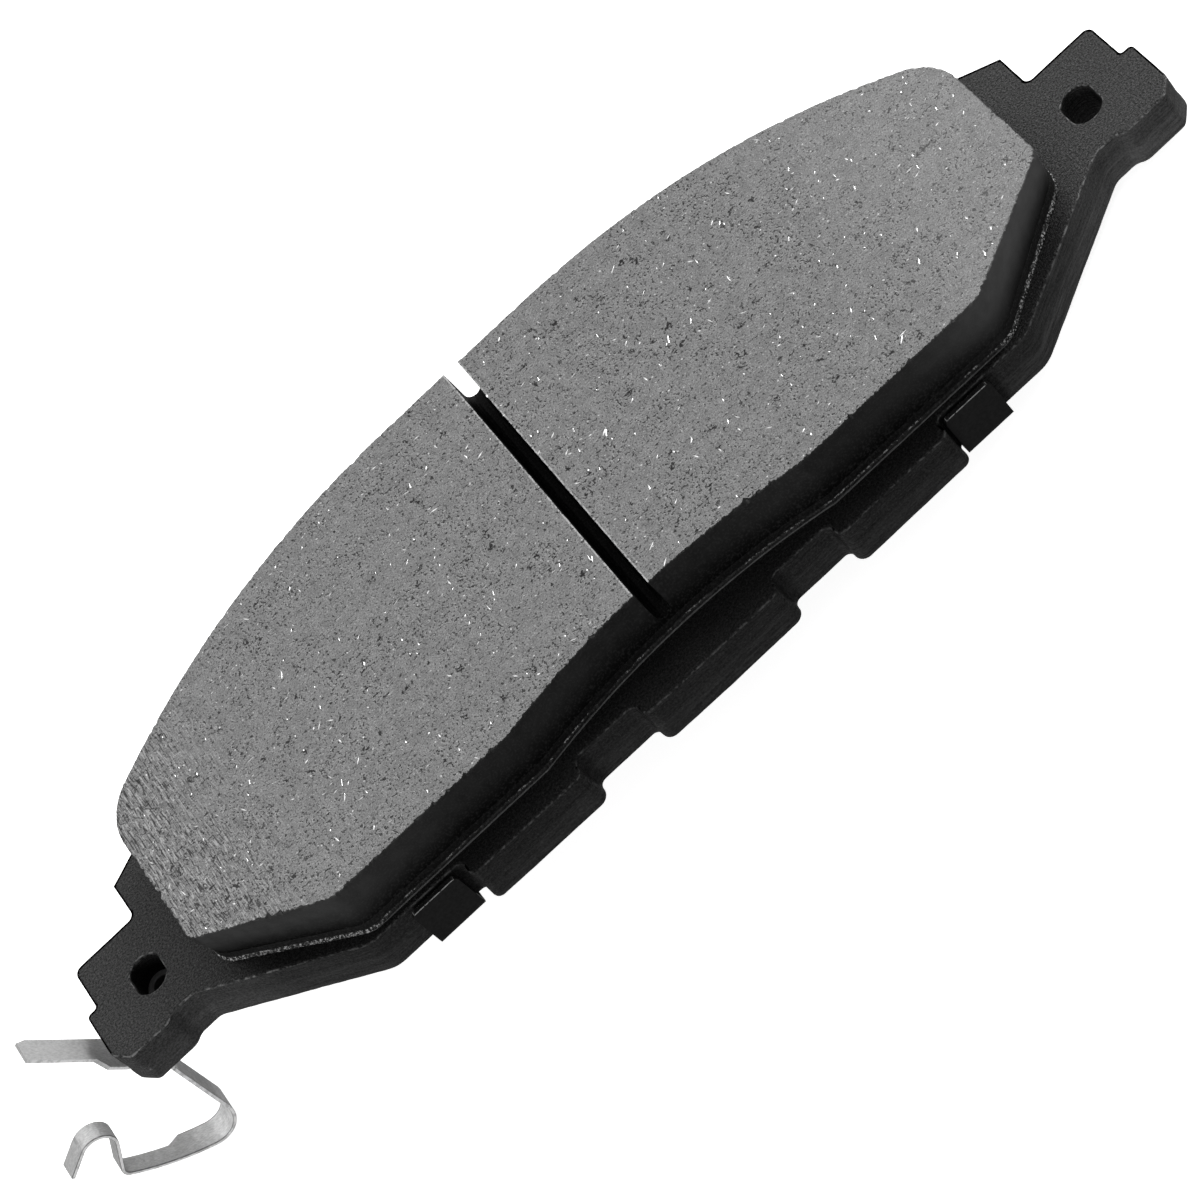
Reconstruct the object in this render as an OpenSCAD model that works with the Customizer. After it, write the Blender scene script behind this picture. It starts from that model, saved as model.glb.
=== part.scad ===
// Disc brake pad: stamped backing plate, moulded friction block, back shim and a riveted
// strip-metal wear indicator with a pad return spring.
// Millimetres. X runs along the pad, +Y points to the convex outer arc, +Z is the face normal
// that looks at the disc. The origin is midway between the two ear holes, on the plate's front face.

/* [Backing plate] */
// Plate thickness
plate_t = 6.1; // [5.5:0.1:6.5]
// Distance between the two ear holes
hole_spacing = 145; // [144:0.5:146]
// Radius of the plate's outer arc
plate_arc_r = 155; // [150:1:160]
// Height of the outer arc's crown above the line of the ear holes
plate_crown_y = 30.6; // [30:0.1:31.5]
// Height of the ear's top edge
ear_top_y = 8.1; // [7.6:0.1:8.6]
// Length of the lobes on the lower edge, from the recess floor
lobe_len = 2.5; // [2.1:0.05:2.9]

/* [Friction material] */
// Height of the friction face above the plate
face_z = 8.8; // [8.4:0.1:10]
// Half length of the friction face
face_end_x = 64.2; // [63.6:0.1:64.6]
// Thickness of the moulded underlayer
underlayer_t = 1.7; // [1.4:0.1:1.9]
// Thickness of the adhesive film under it
bond_t = 0.2; // [0.1:0.05:0.3]
// Width of the centre slot
slot_w = 2.2; // [1.5:0.1:2.4]
// Depth of the centre slot
slot_depth = 6.1; // [5:0.1:6.1]

/* [Shim] */
// Thickness of the steel shim
shim_t = 0.6; // [0.4:0.05:0.7]
// Thickness of the rubber layer under the shim
damping_t = 0.4; // [0.2:0.05:0.5]
// Width of the two lower tabs
tab_w = 6.7; // [6:0.1:7]

/* [Wear indicator and return spring] */
// Thickness of the spring strip
strip_t = 0.45; // [0.4:0.05:0.5]
// Height of the indicator's tip above the plate's front face
tip_z = 4.9; // [4:0.1:6]
// Depth of the spring's loop behind the plate's front face
loop_z = 22.7; // [22.2:0.1:23.2]
// Wide width of the spring arm
arm_w = 3.65; // [3.4:0.05:3.8]
// Narrow width of the spring arm beyond its step
arm_narrow_w = 2.6; // [2.2:0.1:2.8]

/* [Hidden] */

steps = 6;                // points in a rounded corner
arc_steps = 14;           // points in a long arc
eps = 0.01;               // overshoot of a cut

hole_x = hole_spacing / 2;
hole_w = 4.3;             // across the ear hole's flats
hole_len = 5.4;           // along the ear hole
hole_diag = 5.15;         // across its blunted corners
shoulder_x = 70.1;        // side of the shoulder above the ear
ear_step_x = 79.6;        // ear end above its step
ear_end_x = 81.2;         // ear end below its step
ear_step_y = 1.55;
ear_low_y = -7.55;        // lower edge of the ear
ear_low_x = [73.7, 79.4]; // where that edge starts and ends
ear_bevel = 2.1;          // height of the slope between it and the ear's end
ear_relief_y = -6.75;     // relief where the ear meets the slanted side
recess_y = -19.95;        // floor of the recesses between the lobes
tab_recess_y = -19.5;     // edge that the shim's lower tabs wrap over
lobe_y = recess_y - lobe_len;
// Ends of the centre lobe and of the outer lobes, on the plain and on the sprung side.
centre_lobe_x = [10.6, 9.7];
outer_lobe_x = [[19.5, 35.8], [19.1, 35.7]];
low_corner_x = 49.5;      // where the slanted side meets the lower edge
slant_top_x = 69.4;

key_r = 5;                // keying holes that the underlayer is moulded into
key_at = [[40, 5], [16, 8]];

face_crown_y = 29.4;
face_mid_r = 1500;        // the top edge is nearly straight up to face_mid_x
face_mid_x = 12;
face_side_r = [99, 90];    // and then falls in a tighter arc, on the sprung and on the plain side
face_end_r = 8;
face_low_y = -18.5;       // flat lower edges of the friction face
face_low_crown_y = -16.1; // top of the hollow in the middle of the lower edge
face_hollow_r = 100;
face_flat_x = [24, 48.2]; // where a flat lower edge starts and ends
face_flat_corner_r = 4;   // rounding between that edge and the slanted side
// Where the slanted side meets the end, as [y, radius]. The foot is cut back further than the face.
face_corner = [-8.5, 2];
foot_corner = [-6.5, 3.5];
slot_x = -0.4;
draft = 0.1;              // how far the underlayer stands out past the friction block's foot
flash = 0.45;             // how far the moulding flash round its foot stands out
flash_t = 0.4;
saw_reach = 40;           // half the length of the cut for the slot

shim_z = -plate_t - damping_t;
shim_end_x = 56;
shim_end_y = [-11, 10];   // the straight part of the shim's end
shim_shoulder = [48, 4];  // where its outer arc starts, and the radius of the shoulder beside it
shim_inset = 2;           // how far it lies inside the plate's outer arc
shim_low_y = recess_y + 1.4;
shim_gap = 0.75;          // between the plate's edge and the tabs
tab_r = shim_t + 0.1;
tab_corner_r = 0.8;       // rounding of a tab's front corners
tab_x = 40.2;
shim_shift = -0.45;       // the shim sits a little off centre
top_tab_w = 9;

strip_back = -plate_t;    // the strip lies on the back of the left ear
base_inner_x = -68.5;     // the strip's flat base starts inboard of the ear hole
base_y = [-5.6, 3.4];
base_end_x = -81.55;      // bend between the base and the blade
blade_y = [-1.65, 2];
blade_root_y = -3.1;      // the blade is wider up to blade_step_z
blade_step_z = -3.9;
tip_cut = 0.5;            // clipped corner of the blade's tip
blade_bend_r = 0.7;
blade_lean = 0.6;         // how far the blade leans out for each unit of height
arm_y = -7;               // lower edge of the spring arm
arm_x = -77.9;            // middle of the strip in the arm's straight leg
arm_step_x = [-85.3, -86.65]; // the arm gets narrower between these
root_r = 0.9;             // middle radius of the bend at the arm's root
root_gap = 0.1;           // split between base and arm at that bend
straight = [0, 0];
// The arm's bends as [turn, middle radius], in the XZ plane; a turn below zero is clockwise.
loop_start = [-41, 4.4];
loop_end = [-75, 2.8];
run_bow = [-21, 30];
hook_foot = [-72, 1.3];
rise_len = 4.6;
hook_top = [153, 2.23];
hook_end_len = 3.9;
rivet_r = 3.4;
rivet_head_t = 1.1;
rivet_bore_r = 1.2;
rivet_front_z = -3;
fit_gap = 0.06;           // clearance of the rivet in the ear hole

strip_mid_z = strip_back - strip_t / 2;
blade_heading = 180 - atan(1 / blade_lean);
blade_bend_rise = blade_bend_r * (1 + cos(blade_heading));
blade_len = (tip_z - strip_mid_z - blade_bend_rise) / sin(blade_heading);

// ---------- shared outline functions ----------

// Points of a circular arc from angle a0 to a1.
function arc(c, r, a0, a1, n = steps) =
    [for (i = [0:n]) let (a = a0 + (a1 - a0) * i / n) c + r * [cos(a), sin(a)]];

// Replaces the corner b between a and c by an arc of radius r, tangent to both sides.
function corner(a, b, c, r) =
    let (
        u = (a - b) / norm(a - b),
        v = (c - b) / norm(c - b),
        half = acos(u * v) / 2,
        centre = b + (u + v) / norm(u + v) * r / sin(half),
        p = b + u * r / tan(half),
        q = b + v * r / tan(half),
        a0 = atan2(p.y - centre.y, p.x - centre.x),
        a1 = atan2(q.y - centre.y, q.x - centre.x),
        turn = a1 - a0,
        sweep = turn > 180 ? turn - 360 : turn < -180 ? turn + 360 : turn
    )
    arc(centre, r, a0, a0 + sweep);

// Rounds every point [x, y, r] of an open path whose r is above zero.
function rounded(path) =
    [for (i = [0:len(path) - 1])
        let (p = [path[i].x, path[i].y])
        each path[i].z > 0
            ? corner(
                [path[i - 1].x, path[i - 1].y], p, [path[i + 1].x, path[i + 1].y], path[i].z)
            : [p]];

// Joins a right-hand half path that runs from bottom to top with the mirror image of another.
function both_halves(right, left) =
    concat(right, [for (i = [len(left) - 1:-1:0]) [-left[i].x, left[i].y]]);

// ---------- backing plate ----------

// One half of the plate's outline; side is 0 for the plain side and 1 for the sprung side.
function plate_half(side) =
    let (
        arc_centre = [0, plate_crown_y - plate_arc_r],
        centre_end = centre_lobe_x[side],
        outer = outer_lobe_x[side]
    )
    concat(
        rounded([
            [0, lobe_y, 0],
            [centre_end, lobe_y + 0.1, 1.2],
            [centre_end, recess_y, 1.1],
            [outer[0], recess_y, 1.1],
            [outer[0], lobe_y, 1.2],
            [outer[1], lobe_y + 0.15, 0.8],
            [outer[1], tab_recess_y, 1],
            [low_corner_x, tab_recess_y, 4],
            [slant_top_x, ear_relief_y, 2.5],
            [ear_low_x[0] - 1.1, ear_relief_y, 2],
            [ear_low_x[0], ear_low_y, 2],
            [ear_low_x[1], ear_low_y, 0.9],
            [ear_end_x, ear_low_y + ear_bevel, 1.2],
            [ear_end_x, ear_step_y, 0.5],
            [ear_step_x, ear_step_y, 0.6],
            [ear_step_x, ear_top_y, 0.9],
            [shoulder_x, ear_top_y, 1],
            [shoulder_x, ear_top_y + 3, 0]
        ]),
        arc(arc_centre, plate_arc_r, acos(shoulder_x / plate_arc_r), 90, arc_steps)
    );

// A round hole with two flats and blunted corners, which keeps a riveted strip from turning.
module ear_hole_2d(grow = 0) {
    intersection() {
        circle(d = hole_len + 2 * grow, $fn = 48);
        square([hole_w + 2 * grow, hole_len + 1], center = true);
        rotate(45) square(hole_diag + 2 * grow, center = true);
    }
}

module backing_plate() {
    color([0.07, 0.07, 0.075])
    difference() {
        translate([0, 0, -plate_t]) linear_extrude(plate_t)
            polygon(both_halves(plate_half(0), plate_half(1)));
        for (side = [-1, 1])
            translate([side * hole_x, 0, -plate_t - eps])
                linear_extrude(plate_t + 2 * eps) ear_hole_2d();
        keys(key_r, -plate_t - eps, eps);
    }
}

// Round plugs, or the holes for them, at each keying position.
module keys(r, z0, z1) {
    for (side = [-1, 1], at = key_at)
        translate([side * at.x, at.y, z0]) cylinder(r = r, h = z1 - z0, $fn = 48);
}

// ---------- friction material ----------

// Half of the friction outline, grown outwards by g, with a side arc of radius r.
function friction_half(g, r, corner) =
    let (
        crown = face_crown_y + g,
        end_x = face_end_x + g,
        low = face_low_y - g,
        mid_r = face_mid_r + g,
        mid_a = acos(face_mid_x / mid_r),
        mid_c = [0, crown - mid_r],
        join = mid_c + mid_r * [cos(mid_a), sin(mid_a)],
        side_r = r + g,
        side_c = join - side_r * [cos(mid_a), sin(mid_a)],
        end_r = face_end_r + g,
        end_cx = end_x - end_r,
        end_c = [end_cx, side_c.y + sqrt(pow(side_r - end_r, 2) - pow(end_cx - side_c.x, 2))],
        end_a = atan2(end_c.y - side_c.y, end_c.x - side_c.x),
        hollow_c = [0, face_low_crown_y - g - face_hollow_r],
        hollow_a = asin((low - hollow_c.y) / face_hollow_r)
    )
    concat(
        arc(hollow_c, face_hollow_r, 90, hollow_a, arc_steps),
        rounded([
            [face_flat_x[0], low, 0],
            [face_flat_x[1] + g / 2, low, face_flat_corner_r],
            [end_x, corner[0] - g, corner[1] + g],
            [end_x, end_c.y - 1, 0]
        ]),
        arc(end_c, end_r, 0, end_a, arc_steps),
        arc(side_c, side_r, end_a, mid_a, arc_steps),
        arc(mid_c, mid_r, mid_a, 90, arc_steps)
    );

function friction_outline(g, corner) =
    both_halves(friction_half(g, face_side_r[1], corner), friction_half(g, face_side_r[0], corner));

module friction_block() {
    z0 = bond_t + underlayer_t;
    floor_z = face_z - slot_depth + slot_w / 2;
    color([0.42, 0.42, 0.41])
    difference() {
        translate([0, 0, z0]) linear_extrude(face_z - z0) polygon(friction_outline(0, face_corner));
        translate([slot_x - slot_w / 2, -saw_reach, floor_z]) cube([slot_w, 2 * saw_reach, face_z]);
        translate([slot_x, saw_reach, floor_z]) rotate([90, 0, 0])
            cylinder(d = slot_w, h = 2 * saw_reach, $fn = 32);
    }
}

module underlayer() {
    color([0.16, 0.16, 0.155]) {
        translate([0, 0, bond_t]) linear_extrude(underlayer_t)
            polygon(friction_outline(draft, foot_corner));
        translate([0, 0, bond_t]) linear_extrude(flash_t) polygon(friction_outline(flash, foot_corner));
        keys(key_r - fit_gap, -plate_t, bond_t + eps);
    }
}

module bond_film() {
    color([0.3, 0.24, 0.12])
    difference() {
        linear_extrude(bond_t) polygon(friction_outline(flash / 2, foot_corner));
        keys(key_r, -1, 1);
    }
}

// ---------- shim and damping layer ----------

// Right half of the shim's flat body, inset from the plate's edge.
function shim_half(g) =
    let (
        r = plate_arc_r - shim_inset - g,
        c = [0, plate_crown_y - plate_arc_r],
        end_x = shim_end_x - g,
        shoulder_r = shim_shoulder[1]
    )
    concat(
        rounded([
            [0, shim_low_y + g, 0],
            [low_corner_x - 3, shim_low_y + g, 3],
            [end_x, shim_end_y[0] + g, 3],
            [end_x, shim_end_y[1], 0]
        ]),
        arc([end_x - shoulder_r, shim_end_y[1] + shoulder_r], shoulder_r, 0, 45),
        arc(c, r, acos(shim_shoulder[0] / r), 90, arc_steps)
    );

function shim_outline(g) = both_halves(shim_half(g), shim_half(g));

// One tab, seen along X: it leaves the shim's back, turns at the edge and ends level with the plate's face.
module tab_profile(edge) {
    root = edge - 4;
    out = edge + shim_gap;
    polygon(concat(
        [[root, shim_z], [root, shim_z - shim_t]],
        arc([out + shim_t - tab_r, shim_z - shim_t + tab_r], tab_r, 270, 360),
        [[out + shim_t, 0], [out, 0]],
        arc([out + shim_t - tab_r, shim_z - shim_t + tab_r], tab_r - shim_t, 360, 270)
    ));
}

// edge is how far the tab's plate edge lies from the X axis; flip is -1 for the lower edge.
module tab(x, w, edge, flip) {
    low = -2 * plate_t;
    front = [[-w / 2, low, 0], [-w / 2, 0, tab_corner_r], [w / 2, 0, tab_corner_r], [w / 2, low, 0]];
    translate([x, 0, 0]) intersection() {
        translate([-w / 2, 0, 0]) mirror([0, flip < 0 ? 1 : 0, 0])
            rotate([90, 0, 90]) linear_extrude(w) tab_profile(edge);
        rotate([90, 0, 0]) linear_extrude(4 * plate_crown_y, center = true) polygon(rounded(front));
    }
}

module shim() {
    color([0.05, 0.05, 0.055])
    translate([shim_shift, 0, 0]) {
        translate([0, 0, shim_z - shim_t]) linear_extrude(shim_t) polygon(shim_outline(0));
        for (side = [-1, 1]) tab(side * tab_x, tab_w, -tab_recess_y, -1);
        tab(0, top_tab_w, plate_crown_y, 1);
    }
}

module damping_layer() {
    color([0.1, 0.1, 0.1])
        translate([shim_shift, 0, shim_z]) linear_extrude(damping_t) polygon(shim_outline(1));
}

// ---------- wear indicator, return spring and rivet ----------

// Extrudes an XZ profile from y0 to y1.
module along_y(y0, y1) {
    translate([0, y1, 0]) rotate([90, 0, 0]) linear_extrude(y1 - y0) children();
}

// Extrudes a YZ profile from x0 to x1.
module along_x(x0, x1) {
    translate([x0, 0, 0]) rotate([90, 0, 90]) linear_extrude(x1 - x0) children();
}

// Walks from start, facing heading. Each step [length, [turn, radius]] goes straight on and then turns.
function walk(start, heading, path, i = 0) =
    i == len(path) ? [start] :
    let (
        bend = start + path[i].x * [cos(heading), sin(heading)],
        turn = path[i].y[0],
        r = path[i].y[1],
        side = turn < 0 ? -90 : 90,
        centre = bend + r * [cos(heading + side), sin(heading + side)],
        turned = turn == 0 ? [bend] : arc(centre, r, heading - side, heading - side + turn, arc_steps)
    )
    concat([start], turned, walk(turned[len(turned) - 1], heading + turn, path, i + 1));

// Drops points that repeat the one before.
function distinct(path) =
    [for (i = [0:len(path) - 1]) if (i == 0 || norm(path[i] - path[i - 1]) > eps) path[i]];

// A strip of thickness t whose middle line follows the points of path.
module strip_2d(path, t) {
    p = distinct(path);
    n = len(p) - 1;
    dir = [for (i = [0:n]) let (d = p[min(i + 1, n)] - p[max(i - 1, 0)]) d / norm(d)];
    one_side = [for (i = [0:n]) p[i] + t / 2 * [-dir[i].y, dir[i].x]];
    other_side = [for (i = [n:-1:0]) p[i] - t / 2 * [-dir[i].y, dir[i].x]];
    polygon(concat(one_side, other_side));
}

// The flat base behind the ear, from its inner end to the blade's bend.
module indicator_base() {
    z0 = strip_back - strip_t;
    translate([base_inner_x, base_y[0], z0])
        mirror([1, 0, 0]) cube([base_inner_x - arm_x - root_r, base_y[1] - base_y[0], strip_t]);
}

// The blade leaves the base past the ear's end and leans out towards the disc.
module indicator_blade() {
    flat = base_inner_x - base_end_x;
    intersection() {
        along_y(blade_root_y, blade_y[1])
            strip_2d(
                walk(
                    [base_inner_x, strip_mid_z], 180,
                    [[flat, [blade_heading - 180, blade_bend_r]], [blade_len, straight]]),
                strip_t);
        along_x(-100, -60)
            polygon([
                [blade_root_y, -10],
                [blade_root_y, blade_step_z],
                [blade_y[0], blade_step_z + 1],
                [blade_y[0], 10],
                [blade_y[1] - tip_cut, 10],
                [blade_y[1] - tip_cut, tip_z],
                [blade_y[1], tip_z - 2 * tip_cut],
                [blade_y[1], -10]
            ]);
    }
}

// The bend at the root of the spring arm.
module arm_root() {
    centre = [arm_x + root_r, strip_mid_z - root_r];
    along_y(arm_y, arm_y + arm_w)
        strip_2d(concat([[arm_x + 4, strip_mid_z]], arc(centre, root_r, 90, 180)), strip_t);
}

module wear_indicator() {
    color([0.62, 0.63, 0.64])
    difference() {
        union() {
            indicator_base();
            indicator_blade();
            arm_root();
        }
        translate([-hole_x, 0, -20]) linear_extrude(40) ear_hole_2d();
    }
}

// The arm goes straight back, loops round, runs out past the ear's end and ends in a rounded hook.
module return_spring() {
    root_z = strip_mid_z - root_r - root_gap;
    loop_drop = loop_start[1] * sin(-loop_start[0]) + loop_end[1] * (1 - sin(-loop_start[0]));
    leg_len = root_z + loop_z - strip_t / 2 - loop_drop;
    path = walk([arm_x, root_z], -90, [
        [leg_len, loop_start],
        [0, loop_end],
        [0, run_bow],
        [0, hook_foot],
        [rise_len, hook_top],
        [hook_end_len, straight]
    ]);
    color([0.62, 0.63, 0.64])
    intersection() {
        along_y(arm_y - 1, 0) strip_2d(path, strip_t);
        translate([0, 0, -30]) linear_extrude(30)
            polygon([
                [arm_x + 2, arm_y],
                [arm_x + 2, arm_y + arm_w],
                [arm_step_x[0], arm_y + arm_w],
                [arm_step_x[1], arm_y + arm_narrow_w],
                [-110, arm_y + arm_narrow_w],
                [-110, arm_y]
            ]);
    }
}

// A tubular rivet: its head clamps the strip and its shank fills the back half of the ear hole.
module clip_rivet() {
    back = strip_back - strip_t;
    color([0.35, 0.35, 0.36])
    translate([-hole_x, 0, 0])
    difference() {
        union() {
            translate([0, 0, back - rivet_head_t]) cylinder(r = rivet_r, h = rivet_head_t, $fn = 48);
            translate([0, 0, back - eps]) linear_extrude(rivet_front_z - back + eps) ear_hole_2d(-fit_gap);
        }
        translate([0, 0, strip_back]) cylinder(r = rivet_bore_r, h = plate_t, $fn = 32);
    }
}

backing_plate();
friction_block();
underlayer();
bond_film();
damping_layer();
shim();
wear_indicator();
return_spring();
clip_rivet();
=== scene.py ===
"""Looks for the disc brake pad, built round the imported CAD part.

The CAD outlines are read back from the frame's own meshes, so every refined piece follows them.
Lengths are millimetres in the part's frame until a mesh is made; Blender gets metres.
"""

import math
import random

import bmesh
import bpy
import numpy as np
from mathutils import Matrix, Vector, noise
from mathutils.geometry import delaunay_2d_cdt


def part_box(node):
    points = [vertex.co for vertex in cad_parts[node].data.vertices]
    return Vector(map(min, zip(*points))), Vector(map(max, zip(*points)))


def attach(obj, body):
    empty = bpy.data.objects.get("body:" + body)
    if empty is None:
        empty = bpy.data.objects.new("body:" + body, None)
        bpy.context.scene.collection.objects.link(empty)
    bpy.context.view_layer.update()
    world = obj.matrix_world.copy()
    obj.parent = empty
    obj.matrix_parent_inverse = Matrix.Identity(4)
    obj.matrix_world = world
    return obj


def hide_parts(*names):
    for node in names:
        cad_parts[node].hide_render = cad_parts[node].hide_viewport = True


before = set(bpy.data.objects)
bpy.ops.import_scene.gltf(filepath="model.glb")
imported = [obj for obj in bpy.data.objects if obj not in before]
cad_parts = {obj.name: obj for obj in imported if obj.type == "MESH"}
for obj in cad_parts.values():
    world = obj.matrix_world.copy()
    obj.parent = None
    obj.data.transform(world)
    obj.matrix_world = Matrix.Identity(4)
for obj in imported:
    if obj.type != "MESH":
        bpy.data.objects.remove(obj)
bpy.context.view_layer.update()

MM = 0.001
PAD = "pad"


# ---------- chosen values ----------


LEVEL_TOL = 0.004  # how near a vertex lies to a flat face's height
SAME_POINT = 1e-6  # metres; vertices nearer than this are one
FINE_STEP = 0.3  # spacing of the points along a ragged outline
EAR_ROOT = (56, 69)  # where the plate's face turns into the ears, both ways from the middle
PLAIN_END = (36, 56)  # where painted light starts to lighten the walls towards the plain ear, and their gloss rises
WORN_END = (-45, -60)  # where the scratched end of the friction face fades in
SLOT_HIGHLIGHT = 0.12  # width of the painted highlight along the slot's edges
FACE_GREY = 0.172  # mean reflectance of the ground friction face
SLIVER_TRIES = 640  # those that fall past the face's edge are dropped
EDGE_CLEARANCE = 0.985  # slivers keep to this share of the face
SWING_ROOM = 1.0  # height of the spring's loop above the floor, so that it stays clear when it swings


# ---------- sizes read from the frame ----------


def box_mm(node):
    """A CAD node's lowest and highest corners in millimetres."""
    low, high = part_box(node)
    return low / MM, high / MM


PLATE_BACK = box_mm("backing_plate")[0].z
UNDER_TOP = box_mm("friction_block")[0].z
FACE_Z = box_mm("friction_block")[1].z
BOND_TOP = box_mm("bond_film")[1].z
HOLE_X = (box_mm("clip_rivet")[0].x + box_mm("clip_rivet")[1].x) / -2  # from the middle to either hole


# ---------- outlines ----------


def rims(node, z):
    """The closed outlines of a CAD node's flat faces at height z, longest first."""
    bm = bmesh.new()
    bm.from_mesh(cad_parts[node].data)
    bmesh.ops.remove_doubles(bm, verts=bm.verts, dist=SAME_POINT)
    flat = [f for f in bm.faces if all(abs(v.co.z / MM - z) < LEVEL_TOL for v in f.verts)]
    for face in bm.faces:
        face.tag = False
    for face in flat:
        face.tag = True
    after = {}
    for face in flat:
        for loop in face.loops:
            if sum(f.tag for f in loop.edge.link_faces) == 1:
                after[loop.vert] = loop.link_loop_next.vert
    loops = []
    while after:
        start = next(iter(after))
        path, v = [], start
        while v in after:
            path.append((v.co.x / MM, v.co.y / MM))
            v = after.pop(v)
        loops.append(np.array(path))
    bm.free()
    return sorted(loops, key=lambda p: -np.ptp(p[:, 0]))


def facing(loop, outer):
    """The loop turned anticlockwise if it is an outer outline, clockwise if it is a hole."""
    x, y = loop[:, 0], loop[:, 1]
    area = np.sum(x * np.roll(y, -1) - y * np.roll(x, -1))
    return loop if (area > 0) == outer else loop[::-1]


def dense(loop, step):
    """Adds evenly spaced points to every side longer than step."""
    points = []
    for a, b in zip(loop, np.roll(loop, -1, axis=0)):
        count = max(1, math.ceil(np.linalg.norm(b - a) / step))
        points += [a + (b - a) * k / count for k in range(count)]
    return np.array(points)


def eased(loop, times=3):
    """Rounds a dense loop's corners off a little."""
    for _ in range(times):
        loop = (np.roll(loop, 1, axis=0) + 2 * loop + np.roll(loop, -1, axis=0)) / 4
    return loop


def outward(loop):
    """Mitred normals of a loop, pointing away from the material."""
    side = np.roll(loop, -1, axis=0) - loop
    side /= np.linalg.norm(side, axis=1)[:, None]
    normal = np.stack([side[:, 1], -side[:, 0]], axis=1)
    total = normal + np.roll(normal, 1, axis=0)
    return 2 * total / np.maximum(np.sum(total**2, axis=1), 1.5)[:, None]


def inside(points, loops):
    """Even-odd test of many points against a set of loops."""
    odd = np.zeros(len(points), bool)
    for loop in loops:
        for a, b in zip(loop, np.roll(loop, -1, axis=0)):
            spans = (a[1] > points[:, 1]) != (b[1] > points[:, 1])
            if spans.any():
                cut = a[0] + (points[:, 1] - a[1]) * (b[0] - a[0]) / (b[1] - a[1] + 1e-12)
                odd ^= spans & (points[:, 0] < cut)
    return odd


def wave(x, y, z, size, seed=0.0):
    """Smooth noise from -1 to 1 whose features are about size millimetres across."""
    return noise.noise(Vector((x / size + seed, y / size, z / size)))


def ramp(value, start, end):
    """0 before start, 1 after end, straight between; start may be the greater."""
    return min(1.0, max(0.0, (value - start) / (end - start)))


# ---------- meshes ----------


def mesh_from_mm(name, verts, faces):
    mesh = bpy.data.meshes.new(name)
    mesh.from_pydata([tuple(c * MM for c in v) for v in verts], [], faces)
    return mesh


def placed(name, data):
    """A new object in the scene."""
    obj = bpy.data.objects.new(name, data)
    bpy.context.scene.collection.objects.link(obj)
    return obj


def piece(name, verts, faces, paint):
    """A finished piece of the pad's body, made from millimetre points."""
    mesh = mesh_from_mm(name, verts, faces)
    mesh.validate()
    mesh.materials.append(paint)
    obj = placed(name, mesh)
    smooth(mesh)
    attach(obj, PAD)
    return obj


def smooth(mesh, angle=35):
    """Smooth shading, with edges sharper than angle degrees left crisp."""
    mesh.shade_smooth()
    mesh.set_sharp_from_angle(angle=math.radians(angle))


def band(a, b, n):
    """Quads between two closed rings of n points, which start at the points a and b."""
    return [(a + i, b + i, b + (i + 1) % n, a + (i + 1) % n) for i in range(n)]


def cap(loops, ring_ids, verts, z, grid_step=None, lift=None):
    """Triangles over a flat end, with a jittered grid of inner points where grid_step is set."""
    points = np.concatenate(loops)
    edges, base = [], 0
    for loop in loops:
        n = len(loop)
        edges += [(base + i, base + (i + 1) % n) for i in range(n)]
        base += n
    ids = list(np.concatenate(ring_ids))
    if grid_step:
        rng = np.random.default_rng(5)
        low, high = points.min(axis=0), points.max(axis=0)
        xs, ys = np.meshgrid(
            np.arange(low[0], high[0], grid_step), np.arange(low[1], high[1], grid_step)
        )
        grid = np.stack([xs.ravel(), ys.ravel()], axis=1)
        grid += rng.uniform(-0.3, 0.3, grid.shape) * grid_step
        grid = grid[inside(grid, loops)]
        points = np.concatenate([points, grid])
        for x, y in grid:
            ids.append(len(verts))
            verts.append((x, y, z + (lift(x, y) if lift else 0.0)))
    out, _, tris, origin, _, _ = delaunay_2d_cdt([Vector(p) for p in points], edges, [], 1, 1e-5)
    centres = np.array([sum((out[i] for i in t), Vector((0, 0))) / 3 for t in tris])
    kept = inside(centres, loops)
    return [tuple(int(ids[origin[i][0]]) for i in t) for t, keep in zip(tris, kept) if keep]


def steps_to(loop, target):
    """The step from each point of a loop to the nearest point of the target outline."""
    side = np.roll(target, -1, axis=0) - target
    share = np.einsum("nij,ij->ni", loop[:, None] - target, side) / np.sum(side**2, axis=1)
    gap = target + np.clip(share, 0, 1)[..., None] * side - loop[:, None]
    nearest = np.argmin(np.sum(gap**2, axis=2), axis=1)
    return gap[np.arange(len(loop)), nearest]


def prism(loops, profile, ruffle=None, grid_step=None, lift=None, foot=None, hole_share=1.0):
    """Points and faces of an upright body.

    profile lists its rings from the top down as (height, inset), or as (height, inset, share) where the
    ring has moved that share of the way to the foot outline. A negative inset stands outside the outline,
    and holes take hole_share of every inset. ruffle adds to the insets, and lift raises inner top points.
    """
    verts, faces, rings = [], [], []
    for index, loop in enumerate(loops):
        strength = hole_share if index else 1.0
        normal = outward(loop)
        lean = steps_to(loop, foot) if foot is not None else None
        first = len(verts)
        n = len(loop)
        for z, inset, *share in profile:
            ring = loop + lean * share[0] if share else loop
            for (x, y), (nx, ny) in zip(ring, normal):
                d = strength * (inset + (ruffle(x, y, z) if ruffle else 0.0))
                verts.append((x - nx * d, y - ny * d, z))
        for k in range(len(profile) - 1):
            faces += band(first + k * n, first + (k + 1) * n, n)
        rings.append((first, first + (len(profile) - 1) * n, n))
    for end in (0, 1):
        ids = [np.arange(r[end], r[end] + r[2]) for r in rings]
        flat = [np.array([verts[i][:2] for i in ring]) for ring in ids]
        top = end == 0
        tris = cap(flat, ids, verts, profile[-end][0], grid_step if top else None, lift if top else None)
        faces += tris if top else [t[::-1] for t in tris]
    return verts, faces


# ---------- materials ----------


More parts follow.
